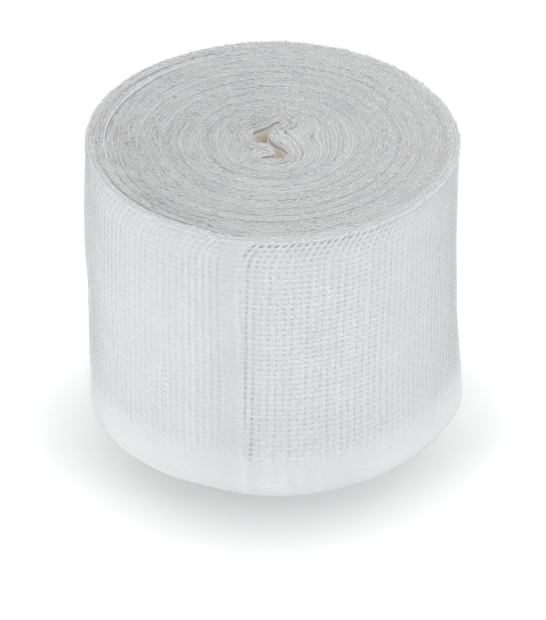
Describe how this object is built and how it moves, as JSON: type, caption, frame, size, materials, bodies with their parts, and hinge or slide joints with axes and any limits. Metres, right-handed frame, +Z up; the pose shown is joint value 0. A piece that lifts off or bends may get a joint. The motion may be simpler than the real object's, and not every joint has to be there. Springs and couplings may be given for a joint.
{
  "type": "gauze bandage roll",
  "caption": "Roll of white open-weave gauze bandage standing on its edge, wound on itself, with a lapped outer end and a small folded void at the core.",
  "frame": {"origin": "centre of the roll's box, on the level surface that it stands on", "axes": "+Z up along the winding, -Y towards the side where the outer end stops, +X to the right seen from that side"},
  "size_m": [0.0638, 0.0632, 0.0508],
  "materials": {
    "gauze": "matt bleached cotton, open plain weave"
  },
  "bodies": {
    "root": {"gauze_roll": "gauze"}
  },
  "joints": []
}
